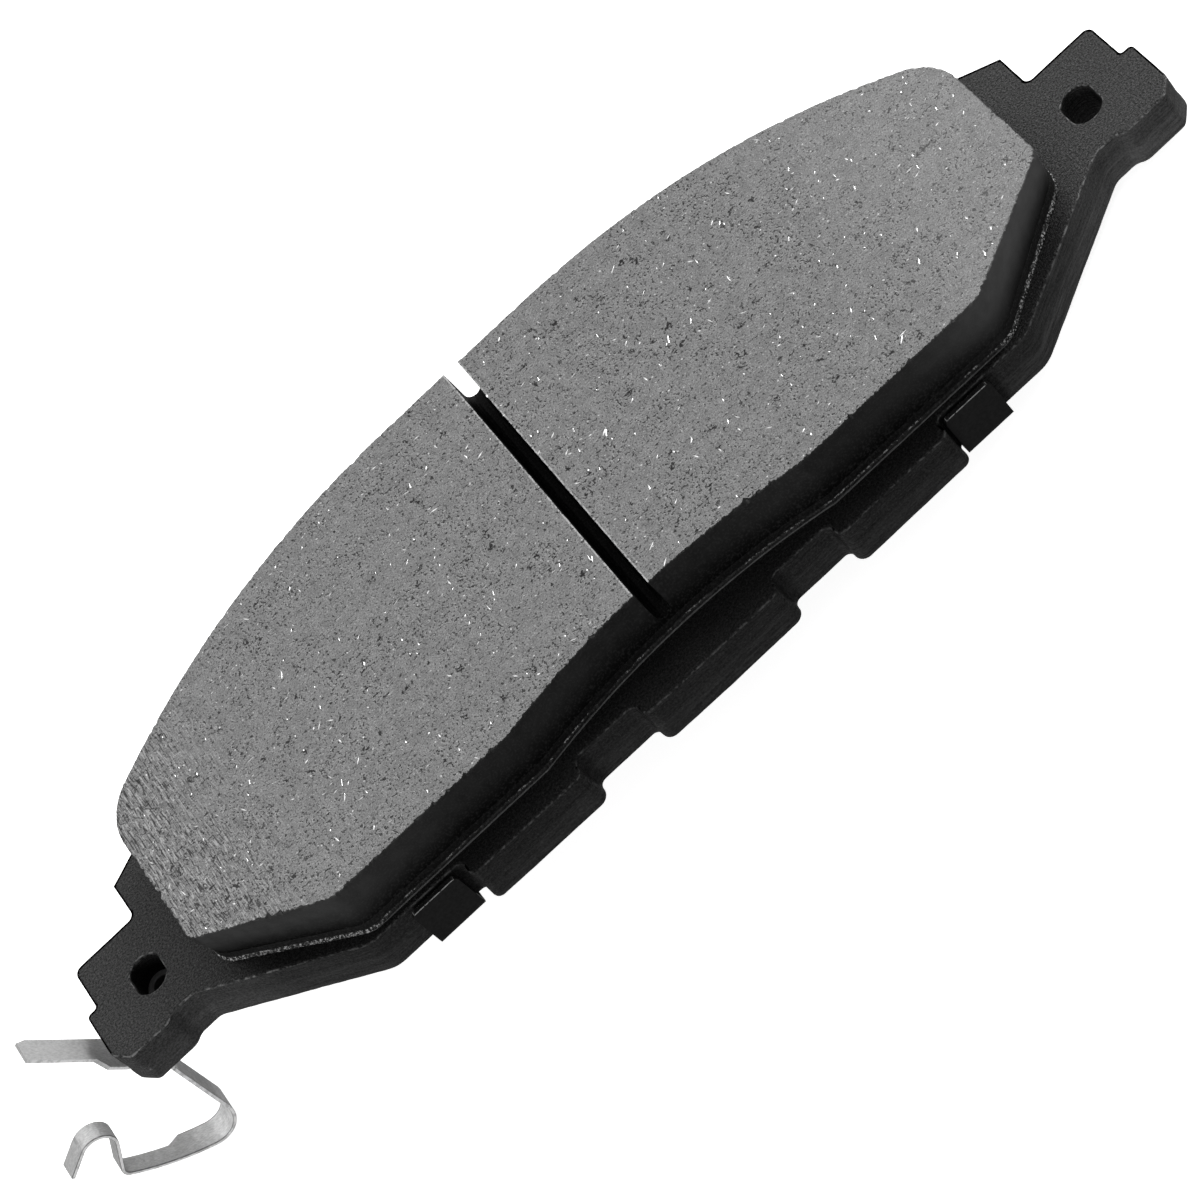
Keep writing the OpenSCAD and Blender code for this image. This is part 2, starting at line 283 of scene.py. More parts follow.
class Paint:
    """A procedural material. Its patterns are laid out in millimetres of the part's frame."""

    def __init__(self, name, specular, metallic=0.0):
        self.material = bpy.data.materials.new(name)
        self.material.use_nodes = True
        self.nodes = self.material.node_tree.nodes
        self.links = self.material.node_tree.links
        self.shader = self.nodes["Principled BSDF"]
        self.shader.inputs["Specular IOR Level"].default_value = specular
        self.shader.inputs["Metallic"].default_value = metallic
        here = self.nodes.new("ShaderNodeTexCoord").outputs["Object"]
        self.mm = self.vector("SCALE", here, Scale=1 / MM)
        split = self.nodes.new("ShaderNodeSeparateXYZ")
        self.links.new(self.mm, split.inputs[0])
        self.x, self.y, self.z = split.outputs
        self.reach = self.size(self.x)

    def put(self, socket, value):
        """Links value to the socket if it is a pattern, and sets it there if it is a number."""
        if isinstance(value, bpy.types.NodeSocket):
            self.links.new(value, socket)
        else:
            socket.default_value = value

    def vector(self, operation, a, b=None, **named):
        node = self.nodes.new("ShaderNodeVectorMath")
        node.operation = operation
        self.put(node.inputs[0], a)
        if b is not None:
            self.put(node.inputs[1], b)
        for key, value in named.items():
            self.put(node.inputs[key], value)
        return node.outputs[0]

    def math(self, operation, a, b=0.0):
        node = self.nodes.new("ShaderNodeMath")
        node.operation = operation
        self.put(node.inputs[0], a)
        self.put(node.inputs[1], b)
        return node.outputs[0]

    def add(self, a, b):
        return self.math("ADD", a, b)

    def times(self, *factors):
        out = factors[0]
        for factor in factors[1:]:
            out = self.math("MULTIPLY", out, factor)
        return out

    def fade(self, value, start, end, low=0.0, high=1.0):
        """low before start, high after end, smooth between; start may be the greater."""
        node = self.nodes.new("ShaderNodeMapRange")
        node.interpolation_type = "SMOOTHSTEP"
        named = {"Value": value, "From Min": start, "From Max": end, "To Min": low, "To Max": high}
        for key, setting in named.items():
            self.put(node.inputs[key], setting)
        return node.outputs[0]

    def size(self, value):
        return self.math("ABSOLUTE", value)

    def either(self, a, b):
        return self.math("MAXIMUM", a, b)

    def rest(self, mask):
        """1 where the mask is 0, and 0 where it is 1."""
        return self.math("SUBTRACT", 1, mask)

    def swing(self, pattern, low, high):
        """A factor from low to high that follows a noise, whose values mostly lie from 0.3 to 0.7."""
        return self.fade(pattern, 0.3, 0.7, low, high)

    def over(self, under, grey, mask, strength):
        """The grey laid over what is under it, strength thick where the mask is 1."""
        return self.mix(self.times(mask, strength), under, grey)

    def mix(self, factor, a, b):
        """a where the factor is 0, b where it is 1."""
        node = self.nodes.new("ShaderNodeMix")
        for key, value in zip((0, 2, 3), (factor, a, b)):
            self.put(node.inputs[key], value)
        return node.outputs[0]

    def noise(self, size, detail=2.0, stretch=(1, 1, 1), rough=0.55, shift=None):
        """Noise from 0 to 1 with features about size millimetres across, longer by stretch."""
        at = self.vector("ADD", self.mm, shift) if shift else self.mm
        at = self.vector("MULTIPLY", at, tuple(1 / s for s in stretch))
        node = self.nodes.new("ShaderNodeTexNoise")
        for key, value in (("Vector", at), ("Scale", 1 / size), ("Detail", detail), ("Roughness", rough)):
            self.put(node.inputs[key], value)
        return node.outputs[0]

    def spots(self, spacing, radius, share, warp=0.0, stretch=(1, 1, 1)):
        """1 inside scattered spots, 0 outside. share is the part of the cells that has one."""
        at = self.vector("MULTIPLY", self.mm, tuple(1 / s for s in stretch))
        if warp:
            bend = self.nodes.new("ShaderNodeTexNoise")
            self.put(bend.inputs["Vector"], self.mm)
            self.put(bend.inputs["Scale"], 1 / (2 * radius))
            shift = self.vector("SUBTRACT", bend.outputs["Color"], (0.5, 0.5, 0.5))
            at = self.vector("ADD", at, self.vector("SCALE", shift, Scale=warp))
        cell = self.nodes.new("ShaderNodeTexVoronoi")
        self.put(cell.inputs["Vector"], at)
        self.put(cell.inputs["Scale"], 1 / spacing)
        chance = self.nodes.new("ShaderNodeSeparateColor")
        self.links.new(cell.outputs["Color"], chance.inputs[0])
        edge = self.times(self.fade(chance.outputs[1], 0, 1, 0.5, 1.3), radius / spacing)
        near = self.math("DIVIDE", cell.outputs["Distance"], edge)
        return self.times(
            self.fade(near, 1.1, 0.6), self.math("LESS_THAN", chance.outputs[0], share)
        )

    def facing(self, kind="Normal"):
        """The x, y and z parts of the surface's own direction, smoothed unless kind is True Normal."""
        geometry = self.nodes.new("ShaderNodeNewGeometry")
        split = self.nodes.new("ShaderNodeSeparateXYZ")
        self.links.new(geometry.outputs[kind], split.inputs[0])
        return split.outputs

    def finish(self, grey, roughness, height=None, depth=0.1, strength=1.0):
        """Sets the shader. height is a relief from 0 to 1 that stands depth millimetres high."""
        self.put(self.shader.inputs["Base Color"], grey)
        self.put(self.shader.inputs["Roughness"], roughness)
        if height is not None:
            bump = self.nodes.new("ShaderNodeBump")
            self.put(bump.inputs["Height"], height)
            self.put(bump.inputs["Distance"], depth * MM)
            self.put(bump.inputs["Strength"], strength)
            self.links.new(bump.outputs[0], self.shader.inputs["Normal"])
        return self.material


def friction_paint(slot_x, slot_half):
    """Ground friction material on top, with painted highlights on pit lips, scratch ridges and the slot's
    edges, and painted shade in hollows and scratch grooves; a black coat on every wall, with a chipped
    border.
    """
    p = Paint("friction_material", specular=0.2)
    grain = p.noise(0.2, detail=2, rough=0.7)
    mottle = p.noise(1.4, detail=3)
    face = p.times(FACE_GREY, p.swing(grain, 0.72, 1.32), p.swing(mottle, 0.88, 1.12))

    wander = p.fade(p.noise(6), 0, 1, -6, 6)
    worn_end = p.fade(p.add(p.x, wander), *WORN_END)
    crowd = p.either(p.fade(p.noise(3.5, detail=2), 0.4, 0.62, 0.15, 1), p.times(worn_end, 0.7))
    # Painted highlight: pale lips beside the pits, offset to one side as if lit.
    lip_highlights = p.times(p.fade(p.noise(0.42, detail=1, shift=(0.12, 0.05, 0)), 0.57, 0.64), crowd)
    face = p.over(face, FACE_GREY * 1.7, lip_highlights, 0.6)
    pits = p.times(p.fade(p.noise(0.42, detail=1), 0.6, 0.65), crowd)
    crumbs = p.spots(0.95, 0.15, 0.4, warp=0.35)
    pores = p.times(p.spots(2.3, 0.3, 0.35, warp=0.8), p.fade(grain, 0.66, 0.46))
    # Painted shade: the pits, crumbs and pores are painted near-black.
    shaded_hollows = p.either(pits, p.either(crumbs, pores))
    face = p.over(face, FACE_GREY * 0.1, shaded_hollows, 0.86)
    pale_grains = p.fade(p.noise(0.24, detail=1), 0.64, 0.72)
    face = p.over(face, FACE_GREY * 2.3, pale_grains, 0.6)
    specks = p.spots(0.9, 0.11, 0.4, warp=0.15)
    face = p.over(face, FACE_GREY * 3.4, specks, 0.8)

    scratches = p.noise(0.17, detail=0, stretch=(1, 9, 1))
    # Painted highlight on the scratches' ridges, and painted shade in their grooves.
    lit_ridges = p.times(worn_end, p.fade(scratches, 0.63, 0.69))
    shaded_grooves = p.times(worn_end, p.fade(scratches, 0.36, 0.3))
    face = p.over(face, FACE_GREY * 2.3, lit_ridges, 0.7)
    face = p.over(face, FACE_GREY * 0.12, shaded_grooves, 0.85)
    # Painted highlight: a thin broken pale line along the slot's edges.
    off_edge = p.size(p.add(p.size(p.add(p.x, -slot_x)), -slot_half))
    slot_highlight = p.times(p.fade(off_edge, 2 * SLOT_HIGHLIGHT, SLOT_HIGHLIGHT), p.fade(p.noise(0.5), 0.38, 0.52))
    face = p.over(face, FACE_GREY * 3, slot_highlight, 0.6)

    border = p.add(p.z, p.fade(p.noise(0.4, detail=3), 0.2, 0.8, -0.05, 0.03))
    ground = p.fade(border, FACE_Z - 0.05, FACE_Z - 0.02)
    grey = p.mix(ground, coat_grey(p), face)
    relief = p.math("SUBTRACT", p.times(grain, 0.5), shaded_hollows)
    relief = p.add(relief, p.times(worn_end, scratches, 0.6))
    relief = p.mix(ground, p.times(p.noise(0.8), 0.3), relief)
    gloss = p.times(p.fade(p.z, BOND_TOP + 1, FACE_Z - 2, 0.03, 0.3), p.fade(p.x, *PLAIN_END, 1, 2.7))
    gloss = p.times(gloss, p.fade(p.reach, 25, 50, 0.65, 1))
    p.put(p.shader.inputs["Specular IOR Level"], gloss)
    return p.finish(grey, p.mix(ground, 0.5, 0.8), relief, depth=0.12)


def coat_grey(p):
    """The thin black coat on moulded walls with a little pale dust, darkened towards the foot by painted
    shade and lightened towards the ends by painted light.
    """
    # Painted shade: the coat darkens towards the foot.
    height = p.fade(p.z, BOND_TOP + 1, FACE_Z - 2, 0.15, 1)
    # Painted light: the coat lightens towards the ends, most towards the plain ear.
    ends = p.times(p.fade(p.reach, 30, 56, 0.65, 1.5), p.fade(p.x, *PLAIN_END, 1, 1.8))
    coat = p.times(0.011, height, ends, p.swing(p.noise(1.5, detail=3), 0.75, 1.3))
    grit = p.fade(p.noise(0.25, detail=2), 0.52, 0.62)
    dust = p.spots(1.7, 0.07, 0.1)
    return p.over(p.over(coat, 0.025, grit, 0.4), 0.1, dust, 0.25)


def plate_paint():
    """Satin black powder coat: a fine grain on the face, stamped bands and streaks on the walls; painted
    shade beside the block, on far edges and in the holes, painted light on the walls towards the ends, and
    a painted highlight on the front edge.
    """
    p = Paint("coated_plate", specular=0.45)
    _, out, up = p.facing()
    level = p.fade(up, 0.6, 0.95)
    ear = p.fade(p.reach, *EAR_ROOT)
    grain = p.noise(0.22, detail=3, rough=0.65)
    fleck = p.fade(p.noise(0.3, detail=2, rough=0.6), 0.52, 0.62)
    face = p.times(0.006, p.swing(grain, 0.2, 1.6), p.swing(p.noise(7, detail=2), 0.8, 1.2))
    # Painted shade: the face is darker between the ears, beside the friction block.
    face = p.times(p.over(face, 0.035, fleck, 0.6), p.fade(ear, 0, 1, 0.45, 1))

    streak = p.noise(0.45, detail=3, stretch=(9, 9, 0.7), rough=0.65)
    torn = p.fade(p.add(p.z, p.times(streak, 1.2)), -2.1, -2.7)
    wall = p.times(p.mix(torn, 0.007, 0.012), p.swing(streak, 0.5, 1.5))
    # Painted light: the walls are lighter towards the ends, most towards the plain ear's end.
    wall = p.times(wall, p.fade(p.reach, 40, 62, 1.2, 1.7), p.fade(p.x, 40, 58, 1, 2.2))
    grey = p.mix(level, p.over(wall, 0.035, fleck, 0.35), face)

    # Painted highlight: a pale broken line where the front edge rolls towards the lobes' side, and round
    # the holes.
    front = p.fade(p.z, -0.5, -0.3)
    rolled = p.times(p.fade(up, 0.25, 0.5), p.fade(up, 0.97, 0.88), front)
    rim_highlight = p.times(rolled, p.fade(out, -0.02, -0.08), p.fade(ear, 0, 0.4, 0.3, 1))
    from_hole = p.math("POWER", p.add(p.reach, -HOLE_X), 2)
    from_hole = p.math("SQRT", p.add(from_hole, p.times(p.y, p.y)))
    at_hole = p.fade(from_hole, 3.6, 3.3)
    rim_highlight = p.either(rim_highlight, p.times(at_hole, p.fade(up, 0.998, 0.98), front))
    grit = p.fade(p.noise(0.3, detail=3, stretch=(2, 2, 1)), 0.48, 0.6)
    grey = p.over(grey, 0.16, p.times(rim_highlight, grit), 0.7)

    # Painted shade: black along the outer arc and the ear ends, where the edge turns away, and inside the
    # holes.
    far_edge = p.times(p.fade(up, 0.9998, 0.998), p.fade(out, 0.01, 0.03))
    end_edge = p.times(p.fade(up, 0.985, 0.96), p.fade(out, -0.06, -0.02))
    far_rim = p.times(p.either(far_edge, end_edge), front, p.rest(at_hole))
    painted_shade = p.either(far_rim, p.times(at_hole, p.rest(level), 0.7))
    grey = p.mix(painted_shade, grey, 0.001)

    sparkle = p.fade(p.noise(0.25, detail=2, rough=0.7), 0.35, 0.65, 0.4, 1.6)
    gloss = p.times(p.rest(painted_shade), p.fade(ear, 0, 1, 0.12, 0.45), sparkle)
    p.put(p.shader.inputs["Specular IOR Level"], gloss)
    relief = p.mix(level, streak, grain)
    return p.finish(grey, p.fade(grain, 0.35, 0.65, 0.36, 0.7), relief, depth=0.16)


def underlayer_paint():
    """Black moulded layer whose flash is dusted with pale grit, most of it at the ends, and a painted
    highlight broken along the bead's crest.
    """
    p = Paint("moulded_underlayer", specular=0.2)
    grit = p.fade(p.noise(0.28, detail=3, rough=0.7), 0.5, 0.6)
    wander = p.fade(p.noise(1.5), 0, 1, -0.12, 0.12)
    low = p.fade(p.add(p.z, wander), BOND_TOP + 0.62, BOND_TOP + 0.45)
    thick = p.times(low, grit, p.fade(p.noise(3), 0.35, 0.55, 0.4, 1))
    # Painted highlight: a broken pale line along the bead's crest.
    crest = p.fade(p.size(p.add(p.z, -BOND_TOP - 0.42)), 0.1, 0.04)
    crest_highlight = p.times(crest, grit, p.fade(p.noise(2.2, detail=2), 0.42, 0.56))
    ends = p.fade(p.reach, 45.5, 48.5)
    cover = p.mix(ends, p.times(crest_highlight, 0.6), thick)
    return p.finish(p.mix(cover, coat_grey(p), 0.36), 0.6, p.noise(0.4, detail=3), depth=0.15)


def shim_paint():
    """Satin black steel with a few scuffs and a painted highlight along its front edge."""
    p = Paint("coated_shim", specular=0.13)
    grain = p.noise(0.3, detail=2)
    scuff = p.spots(4, 0.5, 0.25, warp=1.5, stretch=(3, 1, 1))
    grey = p.over(p.times(0.005, p.swing(grain, 0.6, 1.5)), 0.05, scuff, 0.15)
    edge = p.times(p.fade(p.z, -0.17, -0.11), p.fade(p.facing("True Normal")[2], 0.95, 0.8))
    # Painted highlight: a broken pale line on the front edge's bevel.
    edge_highlight = p.times(edge, p.fade(p.noise(0.8), 0.35, 0.5))
    grey = p.over(grey, 0.28, edge_highlight, 0.8)
    return p.finish(grey, p.swing(grain, 0.38, 0.5), grain, depth=0.02)


def strip_paint():
    """Zinc-plated spring strip, drawn lengthwise, with faint stains, bright sheared sides, painted light
    on its base and painted shade along its edges.
    """
    p = Paint("plated_strip", specular=0.5, metallic=0.35)
    draw = p.noise(0.14, detail=3, stretch=(3, 1, 3))
    stain = p.noise(0.9, detail=4)
    grey = p.times(0.56, p.swing(draw, 0.84, 1.14), p.swing(stain, 0.9, 1.08))

    # A little darker on the blade and lighter in the loop's bend; painted light on the base, where the
    # plate's shadow falls.
    blade = p.fade(p.z, -6.4, -5.6)
    base = p.times(p.fade(p.x, -84, -82), p.fade(p.z, -9, -7))
    bend = p.times(p.fade(p.x, -86, -82), p.fade(p.z, -15, -18))
    grey = p.times(grey, p.fade(blade, 0, 1, 1, 0.88))
    grey = p.times(grey, p.fade(base, 0, 1, 1, 1.9), p.fade(bend, 0, 1, 1, 1.4))
    grey = p.over(grey, 0.2, p.spots(0.8, 0.08, 0.25, warp=0.1), 0.6)

    sideways = p.size(p.facing("True Normal")[1])
    grey = p.mix(p.fade(sideways, 0.9, 0.98), grey, p.fade(stain, 0.35, 0.6, 0.6, 0.95))
    low, high = box_mm("return_spring")
    off_edges = [p.size(p.add(p.y, -y)) for y in (low.y, high.y)]
    # Painted shade: a dark line along the strip's edges.
    arris_shade = p.times(p.fade(p.math("MINIMUM", *off_edges), 0.2, 0.12), p.fade(sideways, 0.9, 0.6))
    grey = p.over(grey, 0.05, arris_shade, p.fade(draw, 0.35, 0.5, 0.4, 0.9))
    relief = p.add(draw, p.times(stain, 0.4))
    return p.finish(grey, p.swing(stain, 0.42, 0.3), relief, depth=0.03)


def dull_paint(name, grey, roughness, specular, metallic=0.0):
    """A plain worked surface for parts that barely show: grain, stain and a little relief."""
    p = Paint(name, specular, metallic)
    grain = p.noise(0.3, detail=3)
    stain = p.noise(3, detail=3)
    shade = p.times(grey, p.swing(grain, 0.8, 1.2), p.swing(stain, 0.8, 1.15))
    return p.finish(shade, p.swing(stain, roughness + 0.08, roughness - 0.05), grain, depth=0.04)


def sliver_paint():
    """Bright steel, a little uneven."""
    p = Paint("metal_sliver", specular=0.5, metallic=1.0)
    return p.finish(p.swing(p.noise(0.4), 0.6, 0.95), 0.35, p.noise(0.15), depth=0.02)


# ---------- pieces ----------


def make_plate(paint):
    """The stamped plate: rolled front edge, smooth shear band, then a torn band that spreads a little."""
    found = rims("backing_plate", 0.0)
    loops = [dense(facing(found[0], True), 0.5)]
    loops += [eased(dense(facing(hole, False), 0.25)) for hole in found[1:]]
    shear_end = PLATE_BACK * 0.47
    proud = -0.12  # the sheared wall stands this far outside the CAD outline
    profile = [
        (0.0, 0.4),
        (0.0, 0.3),
        (-0.02, 0.16),
        (-0.06, 0.03),
        (-0.12, -0.07),
        (-0.22, proud),
        (-0.4, proud),
        (-1.2, proud),
        (-2.0, proud),
        (shear_end, proud),
        (shear_end - 0.2, -0.1),
        (shear_end - 0.9, -0.14),
        (shear_end - 1.7, -0.2),
        (PLATE_BACK + 0.5, -0.24),
        (PLATE_BACK + 0.12, -0.2),
        (PLATE_BACK, -0.1),
    ]

    def ruffle(x, y, z):
        worn = 0.03 * wave(x, y, z, 1.7) if z > -0.5 else 0.0
        torn = 0.04 * wave(x, y, z * 3, 1.1, seed=9) if shear_end - 0.1 > z > PLATE_BACK else 0.0
        return worn + torn + 0.03 * wave(x, y, z, 6.0, seed=4)

    verts, faces = prism(loops, profile, ruffle, grid_step=2.5, hole_share=0.5)
    plate = piece("plate_body", verts, faces, paint)
    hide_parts("backing_plate")


def make_friction(paint, halves):
    """The friction block: a ragged, chipped top edge and a rounded-bottom slot sawn across it."""
    outline = dense(facing(rims("friction_block", UNDER_TOP)[0], True), FINE_STEP)
    foot = facing(rims("underlayer", UNDER_TOP)[0], True)
    profile = [
        (FACE_Z, 0.14),
        (FACE_Z - 0.04, 0.05),
        (FACE_Z - 0.12, -0.02),
        (FACE_Z - 0.3, -0.04),
        (FACE_Z - 0.6, -0.03),
    ]
    lean_start, lean_rings = FACE_Z - 1.5, 6
    for k in range(lean_rings + 1):
        drop = k / lean_rings
        profile.append((lean_start - drop * (lean_start - UNDER_TOP), 0.0, drop**1.3))

    def chips(x, y, z):
        rough = 0.2 * wave(x, y, z, 0.35) + 0.06 * wave(x, y, 0, 1.6, seed=3)
        chip = max(0.0, wave(x, y, 0, 0.8, seed=20) - 0.24) * 1.1
        outer_arc = ramp(y, 0, 8)
        return (rough + chip) * ramp(z, FACE_Z - 0.5, FACE_Z) * (1 - 0.5 * outer_arc)

    def pits(x, y):
        return -0.12 * max(0.0, wave(x, y, 0, 0.9, seed=7) - 0.35)

    verts, faces = prism([outline], profile, chips, grid_step=0.7, lift=pits, foot=foot)
    block = piece("friction_body", verts, faces, paint)
    cut_slot(block, halves)
    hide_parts("friction_block")


def cut_slot(block, halves):
    """Saws the slot between the two halves of the face."""
    left = max(p[0] for p in halves[0])
    right = min(p[0] for p in halves[1])
    middle, half = (left + right) / 2, (right - left) / 2
    floor = slot_floor()
    turn = [math.pi * k / 8 for k in range(9)]
    over, lip = FACE_Z + 1, FACE_Z - 0.15
    section = [(middle - half, over), (middle - half, lip)]
    section += [(middle - half * math.cos(a), floor + half - half * math.sin(a)) for a in turn]
    section += [(middle + half, lip), (middle + half, over)]
    n, verts, faces = len(section), [], []
    reach, step = 40, 0.4
    stations = np.arange(-reach, reach + 0.01, step)
    for y in stations:
        for x, z in section:
            side = math.copysign(1, x - middle)
            wobble = 0.04 * wave(x, y, z, 0.7) if z > FACE_Z - 1 else 0.0
            verts.append((x + side * wobble, y, z))
    for k in range(len(stations) - 1):
        faces += band(k * n, (k + 1) * n, n)
    faces.append(tuple(range(n)))
    faces.append(tuple((len(stations) - 1) * n + i for i in range(n))[::-1])
    saw = placed("slot_saw", mesh_from_mm("slot_saw", verts, faces))
    cut = block.modifiers.new("slot", "BOOLEAN")
    cut.operation, cut.solver, cut.object = "DIFFERENCE", "EXACT", saw
    settled = bpy.data.meshes.new_from_object(block.evaluated_get(bpy.context.evaluated_depsgraph_get()))
    block.modifiers.clear()
    block.data = settled
    smooth(settled, angle=22)
    bpy.data.objects.remove(saw)


def slot_floor():
    """Height of the slot's lowest line, from the CAD block's vertices above its underside."""
    heights = [v.co.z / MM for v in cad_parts["friction_block"].data.vertices]
    return min(z for z in heights if z > UNDER_TOP + LEVEL_TOL)


def make_underlayer(paint):
    """The moulded layer under the friction block, with a crumbly flash round its foot."""
    found = rims("underlayer", BOND_TOP)
    outline = dense(facing(found[0], True), FINE_STEP)
    wall = np.ptp(found[0][:, 0]) / 2 - np.ptp(rims("underlayer", UNDER_TOP)[0][:, 0]) / 2
    profile = [
        (UNDER_TOP, wall),
        (BOND_TOP + 0.8, wall),
        (BOND_TOP + 0.6, wall - 0.06),
        (BOND_TOP + 0.45, wall * 0.55),
        (BOND_TOP + 0.35, wall * 0.2),
        (BOND_TOP + 0.2, 0.02),
        (BOND_TOP, 0.0),
    ]

    def crumble(x, y, z):
        low = ramp(z, BOND_TOP + 0.75, BOND_TOP + 0.45)
        middle = ramp(abs(x), 48, 45)
        rough = 0.09 * (1 + wave(x, y, z, 0.5)) + 0.07 * (1 + wave(x, y, z, 1.8, seed=2))
        return low * (rough + 0.12 * middle)

    verts, faces = prism([outline], profile, crumble)
    for hole in found[1:]:
        plug_verts, plug_faces = prism([facing(hole, True)], [(BOND_TOP, 0.0), (PLATE_BACK, 0.0)])
        base = len(verts)
        verts += plug_verts
        faces += [tuple(i + base for i in f) for f in plug_faces]
    layer = piece("underlayer_body", verts, faces, paint)
    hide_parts("underlayer")


def make_slivers(paint, halves):
    """Short steel slivers lying in the ground face."""
    rng = random.Random(11)
    verts, faces = [], []
    low = [min(h[:, k].min() for h in halves) for k in (0, 1)]
    high = [max(h[:, k].max() for h in halves) for k in (0, 1)]
    places = np.array([[rng.uniform(low[k], high[k]) for k in (0, 1)] for _ in range(SLIVER_TRIES)])
    for x, y in places[inside(places / EDGE_CLEARANCE, halves)]:
        length = rng.choice((0.28, 0.32, 0.4, 0.5, 0.68, 1.0)) * rng.uniform(0.8, 1.2)
        width = rng.uniform(0.15, 0.32)
        angle = rng.uniform(0, math.pi)
        bend = rng.uniform(-0.25, 0.25) * length
        along = np.array([math.cos(angle), math.sin(angle)])
        across = np.array([-along[1], along[0]])
        base = len(verts)
        for k, w in enumerate((0.15, 0.9, 1.0, 0.7, 0.1)):
            t = k / 4 - 0.5
            middle = np.array([x, y]) + along * t * length + across * bend * (0.25 - t * t)
            for side, z in ((-1, -0.02), (0, 0.025), (1, -0.02)):
                px, py = middle + across * side * w * width / 2
                verts.append((px, py, FACE_Z + z))
        for k in range(4):
            for s in range(2):
                a = base + k * 3 + s
                faces.append((a, a + 1, a + 4, a + 3)[::-1])
    piece("metal_slivers", verts, faces, paint)


def make_rivet(paint):
    """A tubular rivet: domed head behind the strip, shank in the ear's hole."""
    low, high = box_mm("clip_rivet")
    cx, cy = (low.x + high.x) / 2, (low.y + high.y) / 2
    head_r = (high.x - low.x) / 2
    shank_r, bore_r = 2.05, 1.2
    head_t, head_rim, dimple = 1.1, 0.2, 0.35
    seat = low.z + head_t
    dome = seat - head_rim
    profile = [(0.0, low.z + dimple), (bore_r * 0.8, low.z + dimple - 0.05), (bore_r, low.z)]
    for k in range(1, 9):
        a = math.pi / 2 * k / 8
        profile.append((bore_r + (head_r - bore_r) * math.sin(a), dome - (dome - low.z) * math.cos(a)))
    profile += [(head_r - 0.05, seat), (shank_r, seat)]
    profile += [(shank_r, high.z - 0.15), (shank_r - 0.12, high.z)]
    profile += [(bore_r + 0.1, high.z), (bore_r, high.z - 0.1)]
    profile += [(bore_r, PLATE_BACK + 0.3), (0.0, PLATE_BACK)]
    sides = 48
    verts, faces = [], []
    for r, z in profile:
        for k in range(sides):
            a = 2 * math.pi * k / sides
            verts.append((cx + r * math.cos(a), cy + r * math.sin(a), z))
    for i in range(len(profile) - 1):
        faces += band((i + 1) * sides, i * sides, sides)
    rivet = piece("rivet_body", verts, faces, paint)
    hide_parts("clip_rivet")


def finish_cad(node, paint, edge):
    """Gives a CAD node its material and softens its edges by edge millimetres, or as far as they allow."""
    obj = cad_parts[node]
    obj.data.materials.clear()
    obj.data.materials.append(paint)
    if edge:
        weld = obj.modifiers.new("joined_faces", "WELD")
        weld.merge_threshold = SAME_POINT
        bevel = obj.modifiers.new("soft_edges", "BEVEL")
        bevel.width = edge * MM
        bevel.segments = 1
        bevel.limit_method = "ANGLE"
        bevel.angle_limit = math.radians(40)
        bevel.harden_normals = False


# ---------- stage ----------


def camera_at_photo():
    """A long lens that looks down on the face from the lobes' side, turned so that the pad climbs."""
    tilt, yaw, roll = math.radians(42), math.radians(3.0155), math.radians(-40.2377)
    target, distance = Vector((-5.171, -5.306, 0)), 500
    focal_share = 3.69183  # focal length over the picture's width
    back = Vector((math.sin(yaw), -math.sin(tilt) * math.cos(yaw), math.cos(tilt) * math.cos(yaw)))
    side = (-back).cross(Vector((0, 1, 0))).normalized()
    rise = side.cross(-back)
    right = math.cos(roll) * side + math.sin(roll) * rise
    up = -math.sin(roll) * side + math.cos(roll) * rise
    data = bpy.data.cameras.new("camera")
    data.sensor_width = 36  # its own millimetres; only the ratio to the lens matters
    data.lens = data.sensor_width * focal_share
    data.clip_start, data.clip_end = 0.01, 10
    cam = placed("camera", data)
    place = (target + back * distance) * MM
    turn = Matrix((right, up, back)).transposed().to_4x4()
    cam.matrix_world = Matrix.Translation(place) @ turn
    bpy.context.scene.camera = cam


def make_floor():
    """A pale floor just under the spring's loop and the plain ear. It sends no light back at the pad."""
    loop_low, _ = box_mm("return_spring")
    ear_x = box_mm("backing_plate")[1].x
    loop_x = loop_low.x + 14.7  # the loop's lowest line, inboard of the hook's end
    slope = (PLATE_BACK - loop_low.z) / (ear_x - loop_x)
    reach = 3000
    corners = [(-reach, -reach), (reach, -reach), (reach, reach), (-reach, reach)]
    verts = [(x, y, loop_low.z + slope * (x - loop_x) - SWING_ROOM) for x, y in corners]
    floor = placed("floor", mesh_from_mm("floor", verts, [(0, 1, 2, 3)]))
    paint = bpy.data.materials.new("pale_floor")
    paint.use_nodes = True
    shader = paint.node_tree.nodes["Principled BSDF"]
    shader.inputs["Base Color"].default_value = (0.9, 0.9, 0.9, 1)
    shader.inputs["Roughness"].default_value = 0.9
    shader.inputs["Specular IOR Level"].default_value = 0.1
    shader.inputs["Emission Color"].default_value = (1, 1, 1, 1)
    shader.inputs["Emission Strength"].default_value = 0.75
    floor.data.materials.append(paint)
    floor.visible_diffuse = False
    floor.visible_glossy = False


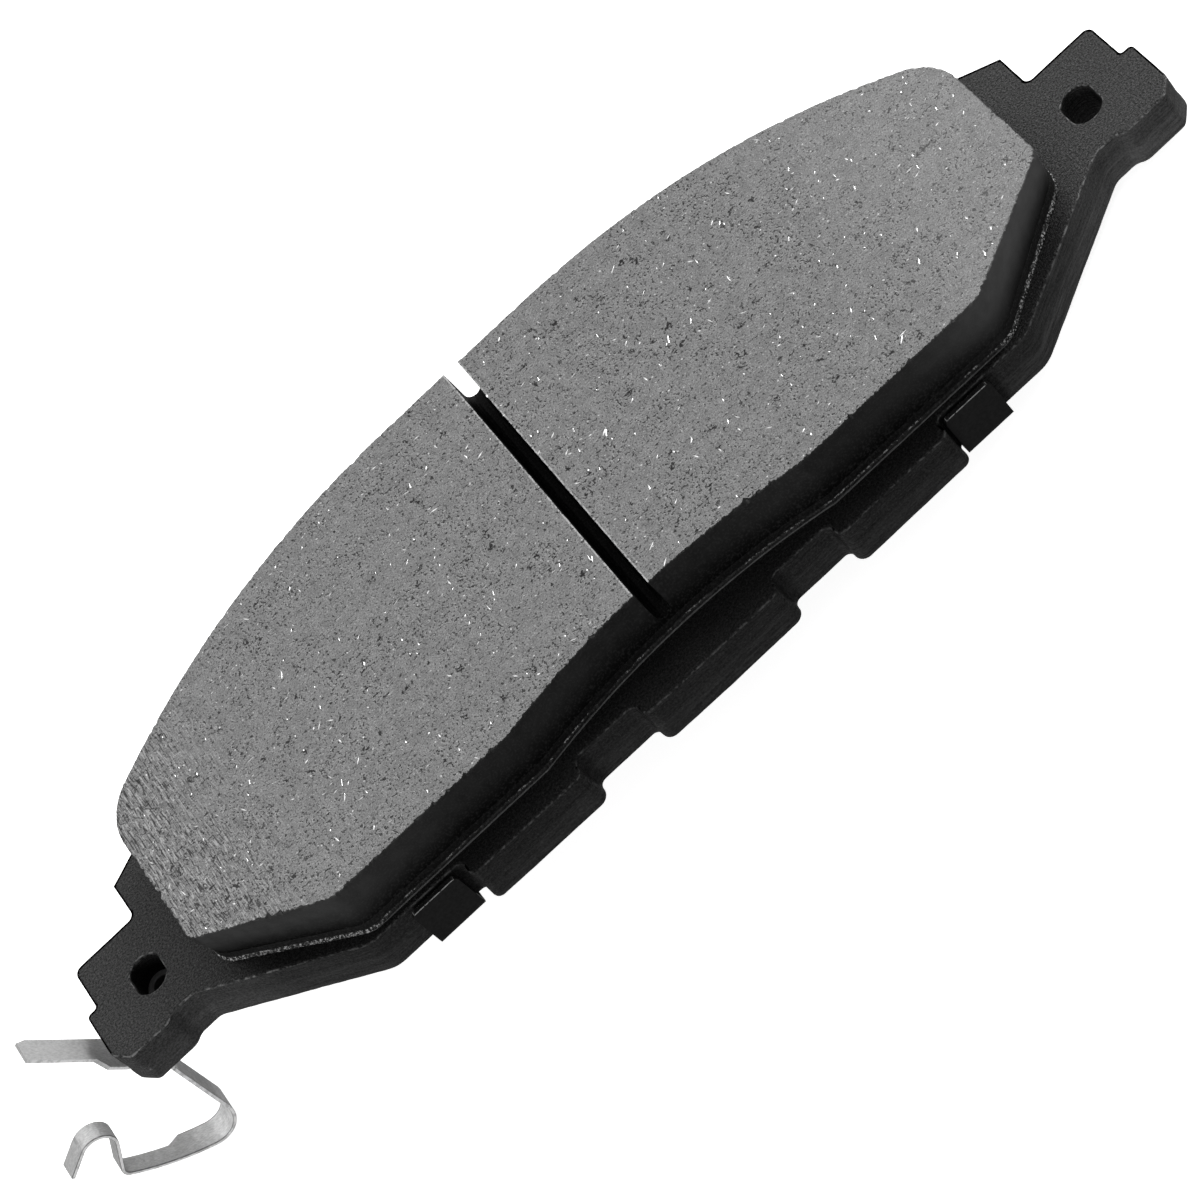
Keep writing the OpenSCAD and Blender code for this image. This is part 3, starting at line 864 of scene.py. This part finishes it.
def area_light(name, place, size, power):
    """A round lamp size millimetres across at place, turned towards the pad."""
    data = bpy.data.lights.new(name, "AREA")
    data.shape = "DISK"
    data.size = size * MM
    data.energy = power
    lamp = placed(name, data)
    lamp.location = Vector(place) * MM
    lamp.rotation_mode = "QUATERNION"
    lamp.rotation_quaternion = (-Vector(place)).to_track_quat("-Z", "Y")


def light_stage():
    """A soft sky that is brightest beyond the pad's outer arc, a large key light and a weak fill."""
    scene = bpy.context.scene
    scene.view_settings.view_transform = "Standard"
    world = bpy.data.worlds.new("studio")
    world.use_nodes = True
    tree = world.node_tree
    toward = tree.nodes.new("ShaderNodeVectorMath")
    toward.operation = "DOT_PRODUCT"
    tree.links.new(tree.nodes.new("ShaderNodeTexCoord").outputs["Generated"], toward.inputs[0])
    brightest = Vector((0.15, 0.6, 0.8))
    toward.inputs[1].default_value = brightest.normalized()
    glow = tree.nodes.new("ShaderNodeMapRange")
    glow.interpolation_type = "SMOOTHSTEP"
    for key, value in (("From Min", 0.3), ("From Max", 0.95), ("To Min", 0.3), ("To Max", 1.2)):
        glow.inputs[key].default_value = value
    tree.links.new(toward.outputs["Value"], glow.inputs["Value"])
    tree.links.new(glow.outputs[0], tree.nodes["Background"].inputs["Strength"])
    tree.nodes["Background"].inputs["Color"].default_value = (1, 1, 1, 1)
    scene.world = world
    area_light("key", (1500, 600, 1100), size=900, power=30)
    area_light("fill", (-1000, -1200, 400), size=700, power=15)


def main():
    camera_at_photo()
    halves = [facing(loop, True) for loop in rims("friction_block", FACE_Z)]
    halves.sort(key=lambda loop: loop[:, 0].mean())
    left, right = halves[0][:, 0].max(), halves[1][:, 0].min()
    make_plate(plate_paint())
    make_friction(friction_paint((left + right) / 2, (right - left) / 2), halves)
    make_underlayer(underlayer_paint())
    make_slivers(sliver_paint(), halves)
    make_rivet(dull_paint("rivet_steel", 0.03, 0.45, 0.4, metallic=0.3))
    strip = strip_paint()
    finish_cad("wear_indicator", strip, 0.13)
    finish_cad("return_spring", strip, 0.13)
    finish_cad("shim", shim_paint(), 0.09)
    finish_cad("damping_layer", dull_paint("damping_rubber", 0.012, 0.75, 0.3), 0)
    finish_cad("bond_film", dull_paint("bond_adhesive", 0.06, 0.6, 0.4), 0)
    make_floor()
    light_stage()


main()
